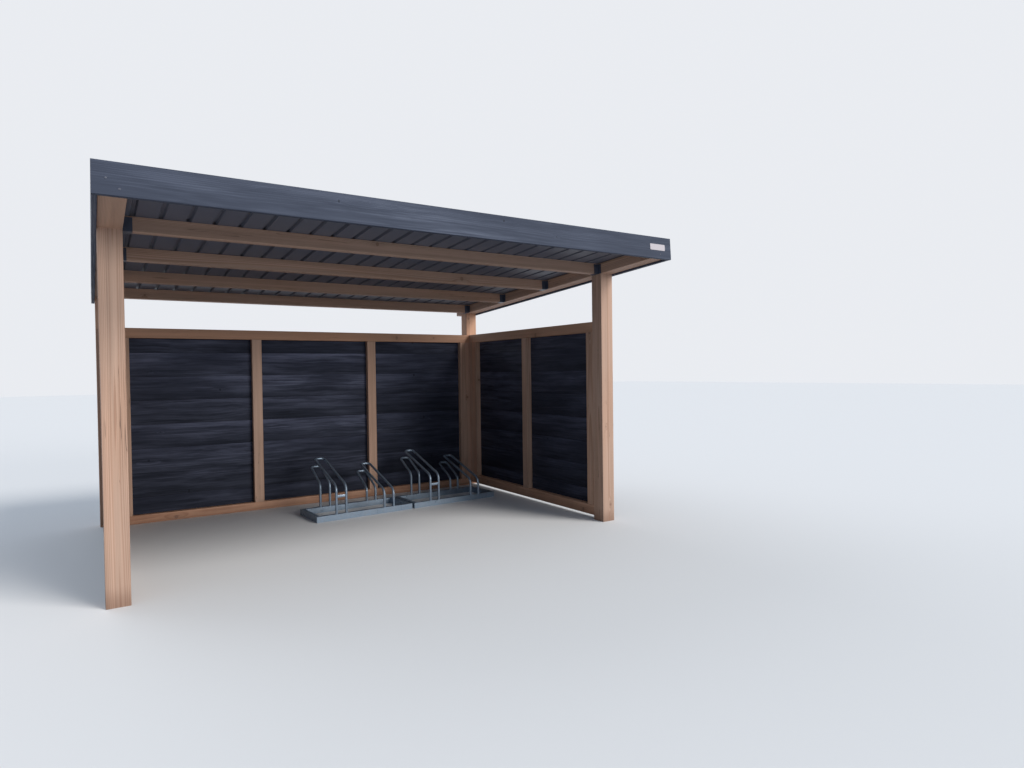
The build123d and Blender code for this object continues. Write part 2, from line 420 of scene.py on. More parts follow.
def timber_pith(node, direction, dice):
    """A point of the pith: within a post, which holds its pith, and beside any other timber."""
    reach = dice.uniform(0.004, 0.02) if node.startswith("post") else dice.uniform(0.05, 0.12)
    aside = Vector((0, 0, 1)) if abs(direction.z) < 0.5 else Vector((1, 0, 0))
    turn = Matrix.Rotation(dice.uniform(0, 2 * math.pi), 3, direction)
    return middle_of(node) + turn @ aside * reach


def timber_finish(node, look, dice):
    """Planed softwood of one timber, with its own pith, tone, knots and cracks, and damp at its foot; the
    rails and rear posts also get a painted warm light tint.
    """
    finish = Finish("timber_" + node)
    direction = grain_direction(node)
    place = grain_place(finish, direction, timber_pith(node, direction, dice))
    seed = float(dice.integers(1, 900))
    figure = wood_figure(finish, place, look.ring_width, look.knot_spacing, look.knot_radius, seed)
    tone = dice.uniform(0.93, 1.07)
    warmth = dice.uniform(-0.03, 0.03)
    tint = tone * np.array([1 + warmth, 1, 1 - warmth])
    # Painted warm light on the rails and rear posts
    if node.endswith("rail") or node.startswith("post_rear"):
        tint *= look.warm_light_tint
    wood = finish.blend(0.75 * figure["late"], tint * look.early_wood, tint * look.late_wood)
    wood = wood * (0.62 + 0.76 * figure["streak"]) * (0.90 + 0.2 * figure["fibre"])
    wood = finish.blend(figure["patch"].rise(0.45, 0.75) * 0.45, wood, wood * (1.06, 0.93, 0.82))
    wood = wood * (1.0 - 0.13 * figure["swerve"])
    wood = finish.blend(figure["knot"] * 0.6, wood, look.knot_wood)
    wood = finish.blend(figure["rim"] * 0.3, wood, 0.5 * np.array(look.knot_wood))
    crack = abs(finish.noise(place, (48.0, 48.0, 0.9)) - 0.5)
    crack = (1.0 - crack.rise(0.0015, 0.006)) * figure["patch"].rise(0.5, 0.6)
    wood = wood * (1.0 - 0.6 * crack)
    height = finish.place().parts()[2] + 0.05 * (finish.noise(finish.place(), (14.0, 14.0, 5.0)) - 0.5)
    damp = 1.0 - height.rise(0.0, 0.11)
    relief = 0.5 * figure["fibre"] + 0.35 * figure["late"] - 1.2 * crack
    return finish.done(
        Base_Color=wood * (1.0 - damp * (0.34, 0.38, 0.40)),
        Roughness=0.56 + 0.22 * figure["fibre"] - 0.12 * figure["knot"],
        Normal=finish.bump(relief, 0.0006, 0.6),
    )


def stained_wood(finish, place, stain, bare, ring_width, seed):
    """Black stained softwood: long wavy streaks of the grain stand out where the stain has thinned.

    Returns its colour, how far the stain is worn and the height of its surface.
    """
    figure = wood_figure(finish, place, ring_width, 0.42, 0.010, seed)
    swing = finish.noise(place, (4.0, 4.0, 2.4), output=1) - 0.5
    wavy = place + swing * (0.045, 0.045, 0.0)
    cloud = finish.noise(wavy, (31.0, 31.0, 1.9), 3.0, 0.55)
    thin = finish.noise(wavy, (110.0, 110.0, 3.4), 3.0, 0.6)
    broad = finish.noise(place, (4.5, 4.5, 1.2))
    worn = 0.08 + cloud.rise(0.30, 0.72) * 0.56 + thin.rise(0.36, 0.68) * 0.32
    worn = worn * (0.45 + 0.95 * broad.rise(0.32, 0.68)) * (0.70 + 0.60 * figure["late"])
    shade = finish.blend(worn, stain, bare) * (0.80 + 0.40 * figure["fibre"])
    shade = shade * (1.0 - 0.55 * figure["knot"] + 0.2 * figure["rim"])
    relief = 0.6 * figure["fibre"] + 0.7 * figure["late"] - 0.4 * figure["rim"]
    return shade, worn, relief


def steel_coat_finish(look):
    """Coated roof steel: dust gathers in streaks that run down the fall, most of it on top."""
    finish = Finish("roof_coat")
    place = finish.place()
    cloud = finish.noise(place, (3.0, 0.9, 3.0), 4.0, 0.6)
    runs = finish.noise(place, (60.0, 1.1, 60.0), 3.0, 0.65)
    speck = finish.noise(place, 220.0, 2.0, 0.6)
    on_top = finish.add("ShaderNodeTexCoord", output="Normal").parts()[2].rise(0.2, 0.6)
    dust = cloud.rise(0.35, 0.8) * 0.40 + runs.rise(0.46, 0.76) * 0.45 + speck.rise(0.6, 0.78) * 0.18
    dust = dust * (0.3 + 0.7 * on_top)
    grain = finish.noise(place, 900.0, 1.0)
    return finish.done(
        Base_Color=finish.blend(dust, look.coat, look.dust),
        Roughness=0.42 + 0.35 * dust + 0.08 * grain,
        Normal=finish.bump(grain + 0.5 * speck, 0.0002, 0.35),
    )


def hanger_finish():
    """Black coated steel, scuffed to a bluish grey in patches; its blue tint and part of its lightness are
    painted sky reflection and painted haze.
    """
    finish = Finish("hanger_coat")
    place = finish.place()
    scuff = finish.noise(place, 85.0, 4.0, 0.7).rise(0.52, 0.75)
    fleck = finish.noise(place, 420.0, 2.0, 0.6)
    # Painted reflection: the blue of these colours stands in for the sky reflected in the black coat
    shade = finish.blend(scuff * 0.5, (0.056, 0.068, 0.104), (0.095, 0.110, 0.155))
    return finish.done(
        Base_Color=shade * (0.85 + 0.3 * fleck),
        Roughness=0.38 + 0.3 * scuff,
        Normal=finish.bump(fleck, 0.0002, 0.5),
    )


def zinc_finish(look):
    """Dipped zinc: crystals of differing shine, with dull runs and grey stains."""
    finish = Finish("dipped_zinc")
    place = finish.place()
    crystal = finish.crystals(place, 95.0)
    stain = finish.noise(place, (30.0, 30.0, 14.0), 4.0, 0.65).rise(0.42, 0.75)
    speck = finish.noise(place, 500.0, 2.0, 0.6)
    shade = finish.blend(crystal * 0.5, look.zinc, 0.78 * np.array(look.zinc))
    shade = finish.blend(stain * 0.4, shade, (0.19, 0.205, 0.235))
    return finish.done(
        Base_Color=shade,
        Metallic=0.62 - 0.3 * stain,
        Roughness=0.27 + 0.12 * crystal + 0.2 * stain,
        Normal=finish.bump(crystal + 0.6 * speck, 0.0003, 0.35),
    )


def screw_finish():
    """Zinc plated screws and nails, a little rusty."""
    finish = Finish("plated_fasteners")
    place = finish.place()
    rust = finish.noise(place, 260.0, 4.0, 0.7).rise(0.5, 0.7)
    shade = finish.blend(rust * 0.7, (0.46, 0.46, 0.44), (0.16, 0.085, 0.05))
    return finish.done(Base_Color=shade, Metallic=0.85 - 0.6 * rust, Roughness=0.34 + 0.4 * rust)


def coated_screw_finish(look):
    """The roof screws' heads, coated like the sheets, with grey rims to their washers."""
    finish = Finish("coated_screws")
    place = finish.place()
    chip = finish.noise(place, 700.0, 3.0, 0.7).rise(0.55, 0.7)
    shade = finish.blend(chip * 0.6, 0.8 * np.array(look.coat), (0.20, 0.20, 0.20))
    return finish.done(Base_Color=shade, Roughness=0.4 + 0.25 * chip)


def plate_finish():
    """White enamel that has yellowed a little, with rain marks in upright streaks."""
    finish = Finish("white_enamel")
    place = finish.place()
    mark = finish.noise(place, (110.0, 110.0, 30.0), 4.0, 0.65).rise(0.45, 0.75)
    speck = finish.noise(place, 900.0, 2.0, 0.6).rise(0.6, 0.75)
    shade = finish.blend(mark * 0.45, (0.57, 0.53, 0.57), (0.43, 0.39, 0.42))
    shade = finish.blend(speck * 0.3, shade, (0.35, 0.32, 0.31))
    return finish.done(
        Base_Color=shade, Roughness=0.3 + 0.25 * mark, Normal=finish.bump(mark, 0.0002, 0.4)
    )


def paint_nodes(names, material):
    """Gives CAD nodes a material."""
    for name in names:
        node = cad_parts[name]
        if not node.material_slots:
            node.data.materials.append(material)
        for slot in node.material_slots:
            slot.material = material


def unit(vectors):
    """Vectors of length 1 in the same directions."""
    return vectors / np.linalg.norm(vectors, axis=-1, keepdims=True)


def grid_faces(rows, columns, closed_rows=False, closed_columns=False):
    """Four corner numbers for each cell of a grid of rows times columns, wrapped where it is closed."""
    row = np.arange(rows if closed_rows else rows - 1)
    column = np.arange(columns if closed_columns else columns - 1)
    row, column = np.meshgrid(row, column, indexing="ij")
    next_row, next_column = (row + 1) % rows, (column + 1) % columns
    corners = (
        row * columns + column,
        row * columns + next_column,
        next_row * columns + next_column,
        next_row * columns + column,
    )
    return np.stack(corners, -1).reshape(-1, 4)


def capped_tube(rows, columns, flip=False):
    """Faces of rows rings of columns points each, closed round and at both ends."""
    cap = np.arange(columns)[None]
    groups = [grid_faces(rows, columns, closed_columns=True), cap[:, ::-1], cap + (rows - 1) * columns]
    return [group[:, ::-1] for group in groups] if flip else groups


def repeated(faces, copies, step):
    """The same faces for each copy of a mesh whose copies hold step vertices each."""
    return (faces[None] + step * np.arange(copies)[:, None, None]).reshape(-1, faces.shape[1])


SHARP_EDGE = math.radians(35.0)


def add_object(name, data):
    """Puts a new object into the scene."""
    added = bpy.data.objects.new(name, data)
    bpy.context.scene.collection.objects.link(added)
    return added


def make_mesh(name, parts, material):
    """A mesh from parts, each of points and groups of faces."""
    points, faces, count = [], [], 0
    for spots, groups in parts:
        points.append(spots.reshape(-1, 3))
        faces += [face for group in groups for face in (group + count).tolist()]
        count += len(points[-1])
    mesh = bpy.data.meshes.new(name)
    mesh.from_pydata(np.concatenate(points), [], faces)
    mesh.materials.append(material)
    return mesh


def make_piece(name, parts, material, slot, *replaces):
    """A smooth piece with sharp edges, which rides on the shelter's only body."""
    mesh = make_mesh(name, parts, material)
    mesh.validate()
    mesh.shade_smooth()
    mesh.set_sharp_from_angle(angle=SHARP_EDGE)
    piece = add_object(name, mesh)
    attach(piece, "root")
    if replaces:
        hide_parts(*replaces)
    return piece


def set_attribute(piece, name, kind, field, values):
    """Stores a value for each of a piece's points."""
    attribute = piece.data.attributes.new(name, kind, "POINT")
    attribute.data.foreach_set(field, np.asarray(values, np.float32).ravel())


# Heads of nails and screws, as the radius and height of each ring from the surface up
NAIL_HEAD = ((0.0030, -0.0010), (0.0032, 0.0005), (0.0026, 0.0009))
HANGER_NAIL_HEAD = ((0.0034, -0.0005), (0.0034, 0.0008), (0.0022, 0.0014))
SCREW_HEAD = ((0.0042, -0.0010), (0.0042, 0.0003), (0.0030, 0.0007), (0.0012, 0.0002))
ROOF_SCREW_HEAD = ((0.0080, 0.0), (0.0080, 0.0015), (0.0048, 0.0022), (0.0048, 0.0068), (0.0040, 0.0074))


def turned_heads(places, normals, head, sectors, hexagon=0.0):
    """Nails' or screws' heads, one at each place with its axis along a normal.

    A point is the place plus its ring's height along the normal plus its radius round it. hexagon
    draws the rings after the first two in towards a hexagon by that share.
    """
    normals = np.broadcast_to(normals, places.shape)
    helper = np.where(np.abs(normals[:, :1]) < 0.7, [[1.0, 0, 0]], [[0, 1.0, 0]])
    side = unit(np.cross(normals, helper))
    other = np.cross(normals, side)
    angle = np.arange(sectors) * 2 * np.pi / sectors
    flat = math.cos(np.pi / 6) / np.cos((angle + np.pi / 6) % (np.pi / 3) - np.pi / 6)
    radii, heights = np.array(head).T[..., None]
    rings = radii * np.where(np.arange(len(head))[:, None] >= 2, 1 + hexagon * (flat - 1), 1.0)
    points = (
        places[:, None, None]
        + (rings * np.cos(angle))[..., None] * side[:, None, None]
        + (rings * np.sin(angle))[..., None] * other[:, None, None]
        + heights[..., None] * normals[:, None, None]
    )
    tube = capped_tube(len(head), sectors)
    return points, [repeated(group, len(places), len(head) * sectors) for group in tube]


# The lapped boards' small forms
BOARD_STATIONS = 61                             # sections along a board
BOARD_EASING = 0.001                            # easing of the upper edge
BOARD_WAVES = np.array([[0.93], [1.7], [1.3]])  # lengths of the waves of bow, wander and cup
BOARD_WANDER = 0.0004
BOARD_CUP = 0.0005
BOARD_OFFSET = 5.3                              # from one board's grain to the next one's


class Wall:
    """A wall's lines: its slab's corners, its outward and level directions and its inner face."""

    def __init__(self, number, name, outward, studs):
        self.number = number
        self.name = name
        self.studs = studs
        self.outward = np.array(outward, float)
        self.along = np.abs(self.outward[[1, 0, 2]])
        self.node = node = name + "_cladding"
        self.low, self.high = np.array(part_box(node))
        inner_face = np.where(self.outward > 0, self.low, self.high) * np.abs(self.outward)
        self.start = inner_face + self.low * self.along
        self.length = self.along @ (self.high - self.low)


def walls():
    """The three walls, each with the studs that its boards are nailed to."""
    back_studs = [f"back_{stud}_{side}" for stud in ("stud", "corner_stud") for side, _ in SIDES]
    yield Wall(0, "back", (0, 1, 0), back_studs)
    for number, (name, side) in enumerate(SIDES, 1):
        studs = [f"{name}_{stud}_stud" for stud in ("front", "middle", "rear")]
        yield Wall(number, name, (side, 0, 0), studs)


def board_section(sizes, height, is_top):
    """The section of a lapped board as (out, up) pairs from the middle of the wall's inner face.

    Flat on the studs, thick at the lower edge, thin at the upper one, with a rebate behind the
    lower edge for the board below. The lower outer corner is a quarter circle.
    """
    top = height if is_top else height + sizes.lap
    thin, thick, rounding, ease = sizes.thin_edge, sizes.thick_edge, sizes.round_over, BOARD_EASING
    angle = np.linspace(0, np.pi / 2, 5)
    outer_up = np.linspace(top - 2 * ease, rounding, 6)
    outer_out = thin + (thick - thin) * (top - outer_up) / (top - rounding)
    corner_out = thick - rounding * (1 - np.cos(angle))
    corner_up = rounding * (1 - np.sin(angle))
    rebate = thin + sizes.play
    out = np.concatenate([[0, 0, ease, thin - ease], outer_out[:-1], corner_out, [rebate, rebate]])
    step = sizes.lap + sizes.play
    up = np.concatenate([[step, top - ease, top, top], outer_up[:-1], corner_up, [0, step]])
    return out, up


def board_steps(sizes, wall):
    """The lower edge and the height of each board: even steps up the wall, set down a little."""
    edges = np.linspace(wall.low[2], wall.high[2], sizes.count + 1)
    edges[1:-1] -= sizes.set_down
    return edges[:-1], np.diff(edges)


def lapped_boards(wall, sizes, dice):
    """A wall's boards in place of its slab: each board's section carried along the wall.

    Along its length a board bows out by a slow sine between its nails, cups, and wanders up and
    down by a fraction of a millimetre. The grain of a point is its place in the board's own
    (across, deep, along), with along set on by a whole offset for each board of each wall, and
    its share tells how far up the board it lies, from 0 to 1.
    """
    stations = np.linspace(0, wall.length, BOARD_STATIONS)
    flip = np.cross(wall.along, wall.outward)[2] > 0
    parts, grains, shares = [], [], []
    for board, (lower_edge, height) in enumerate(zip(*board_steps(sizes, wall))):
        out, up = board_section(sizes, height, board == sizes.count - 1)
        phases = dice.uniform(0, 2 * np.pi, 3)[:, None]
        bow, wander, cup = np.sin(2 * np.pi * stations / BOARD_WAVES + phases)[..., None]
        out_along = out + sizes.bow * (0.5 + 0.5 * bow)
        out_along = out_along + BOARD_CUP * cup * np.sin(np.pi * up / height) * (out > 0)
        up_along = lower_edge + up + BOARD_WANDER * wander * (up > sizes.lap)
        shape = (
            wall.start
            + stations[:, None, None] * wall.along
            + out_along[..., None] * wall.outward
            + up_along[..., None] * np.array([0, 0, 1.0])
        )
        pith_up, pith_out = dice.uniform(-0.03, 0.2), dice.uniform(-0.09, -0.03)
        along_grain = stations[:, None] + BOARD_OFFSET * (board + sizes.count * wall.number)
        grains.append(np.stack(np.broadcast_arrays(up - pith_up, out - pith_out, along_grain), -1))
        shares.append(np.broadcast_to(up / up.max(), shape.shape[:2]))
        parts.append((shape, capped_tube(*shape.shape[:2], flip)))
    return parts, np.stack(grains), np.stack(shares)


# The racks' tubes
TUBE_SECTORS = 24
TUBE_STEP = math.radians(6)     # most that a tube bends from one ring to the next
BAR_SECTORS = 16
BAR_ROUNDNESS = 0.35            # power of the crosspiece's superellipse
BAR_SHORT = 0.3                 # how far its ends stop short of the legs' middles, in tubes
WELD = 0.0022                   # half the thickness of a weld bead
WELD_GAP = 0.0004
WELD_RIPPLE = 0.0005
WELD_RIPPLES = 10
WELD_STEPS, WELD_SECTORS = 30, 8


def bent_path(points, radii):
    """Straight runs joined by tangent arcs, as points no further than TUBE_STEP apart in angle.

    At a corner between unit directions a and b the arc's centre lies along the bisector, and the
    arc's points are the centre plus the two end radii mixed by sines of the turned angle.
    """
    points = [np.array(p, float) for p in points]
    parts = [points[0][None]]
    for before, corner, after, radius in zip(points, points[1:], points[2:], radii):
        back, ahead = unit(before - corner), unit(after - corner)
        half = math.acos(float(np.clip(back @ ahead, -1, 1))) / 2
        centre = corner + unit(back + ahead) * radius / math.sin(half)
        first = corner + back * radius / math.tan(half) - centre
        last = corner + ahead * radius / math.tan(half) - centre
        turn = math.pi - 2 * half
        share = np.linspace(0, 1, max(3, math.ceil(turn / TUBE_STEP) + 1))[:, None]
        arc = np.sin((1 - share) * turn) * first + np.sin(share * turn) * last
        parts.append(centre + arc / math.sin(turn))
    parts.append(points[-1][None])
    return np.concatenate(parts)


def tube_rings(path, across, radius):
    """Rings round a path: each point plus the radius times a circle square to the path.

    The circle's first axis is square to the path and to across, and its second to both of those.
    """
    ahead = unit(np.gradient(path, axis=0))
    first = unit(np.cross(across, ahead))
    second = np.cross(ahead, first)
    angle = np.arange(TUBE_SECTORS)[:, None] * 2 * np.pi / TUBE_SECTORS
    return path[:, None] + radius * (np.cos(angle) * first[:, None] + np.sin(angle) * second[:, None])


def weld_bead(foot, radius):
    """A ring of weld round a leg: a torus whose thickness ripples round the leg."""
    around = np.arange(WELD_STEPS)[:, None] * 2 * np.pi / WELD_STEPS
    section = np.arange(WELD_SECTORS) * 2 * np.pi / WELD_SECTORS
    thick = WELD + WELD_RIPPLE * np.sin(WELD_RIPPLES * around)
    reach = radius + WELD_GAP + thick * np.cos(section)
    bead = np.stack([reach * np.cos(around), reach * np.sin(around), thick * np.sin(section)], -1)
    return bead + foot, [grid_faces(*bead.shape[:2], closed_rows=True, closed_columns=True)]


def flat_bar(place, base, half, crosspiece):
    """A flat bar with rounded edges: a superellipse section carried from leg to leg."""
    middle, width, thickness = crosspiece
    angle = np.arange(BAR_SECTORS) * 2 * np.pi / BAR_SECTORS
    round_up = np.sign(np.sin(angle)) * np.abs(np.sin(angle)) ** BAR_ROUNDNESS
    round_out = np.sign(np.cos(angle)) * np.abs(np.cos(angle)) ** BAR_ROUNDNESS
    x = np.array([[place - half], [place + half]])
    spots = np.broadcast_arrays(x, base + thickness / 2 * round_out, middle + width / 2 * round_up)
    return np.stack(spots, -1), capped_tube(2, BAR_SECTORS)


class ShelterOperator:
    """What the shelter's operators share."""

    bl_options = {"REGISTER", "UNDO"}


class SHELTER_OT_timber(ShelterOperator, bpy.types.Operator):
    """Finishes the posts, beams, purlins, rails and studs as planed softwood"""

    bl_idname = "shelter.timber"
    bl_label = "Timber"

    def execute(self, context):
        dice = np.random.default_rng(41)
        for node in TIMBERS:
            paint_nodes([node], timber_finish(node, context.scene.shelter_timber, dice))
        return {"FINISHED"}


class SHELTER_OT_walls(ShelterOperator, bpy.types.Operator):
    """Builds the three walls of lapped boards and the nails that hold them"""

    bl_idname = "shelter.walls"
    bl_label = "Walls"

    def execute(self, context):
        sizes = context.scene.shelter_boards
        boards = self.board_finish(sizes)
        nails = screw_finish()
        dice = np.random.default_rng(7)
        for wall in walls():
            parts, grain, share = lapped_boards(wall, sizes, dice)
            piece = make_piece(wall.name + "_boards", parts, boards, "black_boards", wall.node)
            set_attribute(piece, "grain", "FLOAT_VECTOR", "vector", grain)
            set_attribute(piece, "share", "FLOAT", "value", share)
            self.drive_nails(wall, sizes, nails, dice)
        return {"FINISHED"}

    def board_finish(self, sizes):
        """Stained boards, each of its own tone, with painted shade: each board darker towards its foot, and
        the wall darker towards the ground and lighter towards its top.
        """
        finish = Finish("black_boards")
        grain = finish.attribute("grain", output=1)
        shade, worn, relief = stained_wood(finish, grain, sizes.stain, sizes.streak, 0.0048, 3.0)
        tone = finish.dice((grain.parts()[2] / BOARD_OFFSET).wave("FLOOR"))
        height = finish.place().parts()[2]
        # Painted shade and sheen: each board darker towards its lower edge, where the board below shades it
        # and its cupped face catches less sheen
        shade = shade * (0.60 + 0.62 * finish.attribute("share", output=2)) * (0.80 + 0.42 * tone)
        # Painted shade and reflection: the wall darker towards the ground and lighter towards its top, for
        # the light that reaches it there
        return finish.done(
            Base_Color=shade * (0.64 + 0.64 * height.rise(0.0, 1.2)),
            Roughness=0.74 - 0.24 * worn,
            Normal=finish.bump(relief, 0.0006, 0.6),
            Specular_IOR_Level=0.26,
            Specular_Tint=(0.66, 0.76, 1.0),
        )

    def drive_nails(self, wall, sizes, material, dice):
        """Two nails through each board into each stud, on the boards' sloping outer face."""
        above_lower_edge, below_upper_edge, drift_up, drift_along = 0.032, 0.045, 0.004, 0.006
        middles = np.array([middle_of(stud) for stud in wall.studs])
        lower_edges, heights = board_steps(sizes, wall)
        ups = np.stack([np.full(sizes.count, above_lower_edge), heights - below_upper_edge], -1)
        stud, board, row = np.indices((len(wall.studs), sizes.count, 2)).reshape(3, -1)
        slope = (sizes.thick_edge - sizes.thin_edge) / (heights.mean() + sizes.lap)
        out = sizes.thick_edge - slope * ups[board, row] + sizes.bow * 0.5
        places = wall.start * np.abs(wall.outward) + middles[stud] * wall.along + out[:, None] * wall.outward
        places[:, 2] = lower_edges[board] + ups[board, row] + dice.uniform(-drift_up, drift_up, len(board))
        places += dice.uniform(-drift_along, drift_along, len(board))[:, None] * wall.along
        heads = turned_heads(places, unit(wall.outward + (0, 0, slope)), NAIL_HEAD, 8)
        make_piece(wall.name + "_nails", [heads], material, "galvanised_steel")


class SHELTER_OT_fascias(ShelterOperator, bpy.types.Operator):
    """Finishes the stained boards round the roof, with their screws and the blank plate"""

    bl_idname = "shelter.fascias"
    bl_label = "Fascias"

    def execute(self, context):
        look = context.scene.shelter_fascias
        dice = np.random.default_rng(19)
        beside = Vector((0.03, 0.05, -0.04))
        for node in FASCIAS:
            finish = Finish("stained_" + node)
            place = grain_place(finish, grain_direction(node), middle_of(node) + beside)
            seed = float(dice.integers(1, 900))
            shade, worn, relief = stained_wood(finish, place, look.stain, look.worn, 0.0055, seed)
            paint_nodes([node], finish.done(
                Base_Color=shade,
                Roughness=0.72 - 0.2 * worn,
                Normal=finish.bump(relief, 0.0008, 0.7),
                Specular_IOR_Level=0.32,
                Specular_Tint=(0.72, 0.82, 1.0),
            ))
        self.drive_screws()
        self.fix_plate(look)
        return {"FINISHED"}

    def drive_screws(self):
        """Screws through the fascias into the side beams, two at a time."""
        heights = np.array([0.016, 0.054])
        aside = np.array([-0.022, 0.022])
        from_front, from_rear, pairs = 0.09, 0.07, 6
        front = roof_along(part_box("fascia_front")[0].y)
        beam_low, beam_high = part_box("side_beam_right")
        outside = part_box("fascia_right")[1].x
        along = np.repeat(np.linspace(front + from_front, roof_along(beam_high.y) - from_rear, pairs), 2)
        parts = []
        for _, side in SIDES:
            at_front = roof_points(((beam_low.x + beam_high.x) / 2 + aside) * side, front, heights)
            at_side = roof_points(outside * side, along, np.tile(heights, pairs))
            parts.append(turned_heads(at_front, -DOWN_FALL, SCREW_HEAD, 10))
            parts.append(turned_heads(at_side, (side, 0, 0), SCREW_HEAD, 10))
        make_piece("fascia_screws", parts, hanger_finish(), "hanger_steel")

    def fix_plate(self, look):
        """A blank plate: a rounded rectangle's outline in three rings, the last drawn in as a chamfer."""
        corner, thickness, chamfer, above_beams = 0.005, 0.0016, 0.0007, 0.057
        low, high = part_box("fascia_front")
        middle = high.x - look.plate_from_end - look.plate_width / 2
        angle = (np.arange(4)[:, None] * np.pi / 2 + np.linspace(0, np.pi / 2, 6)).ravel()
        side = np.repeat([[1, -1, -1, 1], [1, 1, -1, -1]], 6, axis=1)
        half = np.array([look.plate_width, look.plate_height]) / 2 - corner
        radius, lift = np.array([
            (corner, 0.0),
            (corner, thickness - chamfer),
            (corner - chamfer, thickness),
        ]).T[..., None]
        x = middle + side[0] * half[0] + radius * np.cos(angle)
        above = above_beams + side[1] * half[1] + radius * np.sin(angle)
        points = roof_points(x, roof_along(low.y) - lift, above)
        make_piece("blank_plate", [(points, capped_tube(3, len(angle)))], plate_finish(), "fascia_board")


class SHELTER_OT_roof(ShelterOperator, bpy.types.Operator):
    """Finishes the ribbed sheets and screws them to the purlins"""

    bl_idname = "shelter.roof"
    bl_label = "Roof"

    def execute(self, context):
        look = context.scene.shelter_roof
        paint_nodes(ROOF_SHEETS, steel_coat_finish(look))
        left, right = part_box("roof_sheet_left")[0].x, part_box("roof_sheet_right")[1].x
        ribs = int((right - left - look.first_rib) / look.rib_pitch) + 1
        pans = np.append(np.arange(-0.5, ribs - 1, 2), ribs - 0.5)
        x = left + look.first_rib + look.rib_pitch * pans
        x, along = (grid.ravel() for grid in np.meshgrid(x, PURLIN_STARTS + PURLIN_WIDTH / 2))
        places = roof_points(x, along, BEAM_HEIGHT + look.steel)
        heads = turned_heads(places, ROOF_UP, ROOF_SCREW_HEAD, 12, hexagon=0.9)
        make_piece("roof_screws", [heads], coated_screw_finish(look), "roof_steel")
        return {"FINISHED"}


class SHELTER_OT_hangers(ShelterOperator, bpy.types.Operator):
    """Finishes the purlin hangers and nails them to the beams and purlins"""

    bl_idname = "shelter.hangers"
    bl_label = "Hangers"

    def execute(self, context):
        steel = 0.002
        wing_out = np.array([0.016, 0.008, 0.016, 0.008])
        wing_up = np.array([0.009, 0.022, 0.035, 0.048])
        cheek_in = np.array([0.014, 0.028])
        cheek_up = np.array([0.016, 0.042])
        coat = hanger_finish()
        paint_nodes(["joist_hangers_right", "joist_hangers_left"], coat)
        parts = []
        for start in PURLIN_STARTS:
            for _, side in SIDES:
                for edge, out in ((start - steel, -1), (start + PURLIN_WIDTH + steel, 1)):
                    in_wing = roof_points((HALF_CLEAR - steel) * side, edge + out * wing_out, wing_up)
                    in_cheek = roof_points((HALF_CLEAR - cheek_in) * side, edge, cheek_up)
                    parts.append(turned_heads(in_wing, (-side, 0, 0), HANGER_NAIL_HEAD, 8))
                    parts.append(turned_heads(in_cheek, out * DOWN_FALL, HANGER_NAIL_HEAD, 8))
        make_piece("hanger_nails", parts, coat, "hanger_steel")
        return {"FINISHED"}


class SHELTER_OT_racks(ShelterOperator, bpy.types.Operator):
    """Bends the racks' hoops from round tube and welds them to their galvanised rails"""

    bl_idname = "shelter.racks"
    bl_label = "Racks"

    def execute(self, context):
        sizes = context.scene.shelter_racks
        material = zinc_finish(sizes)
        paint_nodes([f"rack_{rack}_base" for rack in RACKS], material)
        for rack in RACKS:
            for row, base, shape in (
                ("front", sizes.rail_width / 2, sizes.front_hoop),
                ("rear", sizes.depth - sizes.rail_width / 2, sizes.rear_hoop),
            ):
                self.bend_row(rack, row, base, shape, sizes, material)
        return {"FINISHED"}

    def bend_row(self, rack, row, base, shape, sizes, material):
        """The two hoops of one rail, with their weld beads and, in front, the flat crosspiece."""
        node = f"rack_{rack}_base"
        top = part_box(node)[1].z
        knee, reach, crown = shape
        half = sizes.leg_spacing / 2
        radii = (sizes.knee_radius, sizes.crown_radius, sizes.crown_radius, sizes.knee_radius)
        parts = []
        for place, drop in ((-sizes.place_pitch / 2, 0.0), (sizes.place_pitch / 2, sizes.low_place_drop)):
            leg = [(base, top), (base, knee - drop), (base + reach, crown - drop)]
            route = [(place - half, *spot) for spot in leg] + [(place + half, *spot) for spot in leg[::-1]]
            rings = tube_rings(bent_path(route, radii), (0, knee - crown, reach), sizes.tube / 2)
            parts.append((rings, capped_tube(*rings.shape[:2])))
            parts += [weld_bead((x, base, top), sizes.tube / 2) for x in (place - half, place + half)]
            if row == "front" and not drop:
                parts.append(flat_bar(place, base, half - sizes.tube * BAR_SHORT, sizes.crosspiece))
        turn = np.array(Matrix.Rotation(sizes.turn, 3, "Z"))
        origin = np.array(middle_of(node)) * (1, 1, 0) - turn @ (0, sizes.depth / 2, 0)
        placed = [(origin + points @ turn.T, faces) for points, faces in parts]
        name = f"rack_{rack}_{row}_"
        make_piece(name + "tubes", placed, material, "galvanised_steel", name + "hoops")


# Each lamp: which way it stands, its spread in degrees and its colour
LAMPS = {
    "key": ((0.42, -0.60, 0.68), 24.0, (1.0, 0.96, 0.90)),
    "low": ((0.36, -0.91, 0.20), 20.0, (1.0, 0.95, 0.88)),
    "back": ((-0.30, 0.75, 0.60), 50.0, (0.95, 0.97, 1.0)),
}
FLOOR_REACH = 40.0
FLOOR_LINES = 9
FLOOR_LEVEL = -0.0005
FLOOR_BOUNCE = 0.45     # share of the floor's colour that bounced light meets
SENSOR_WIDTH = 36.0     # millimetres


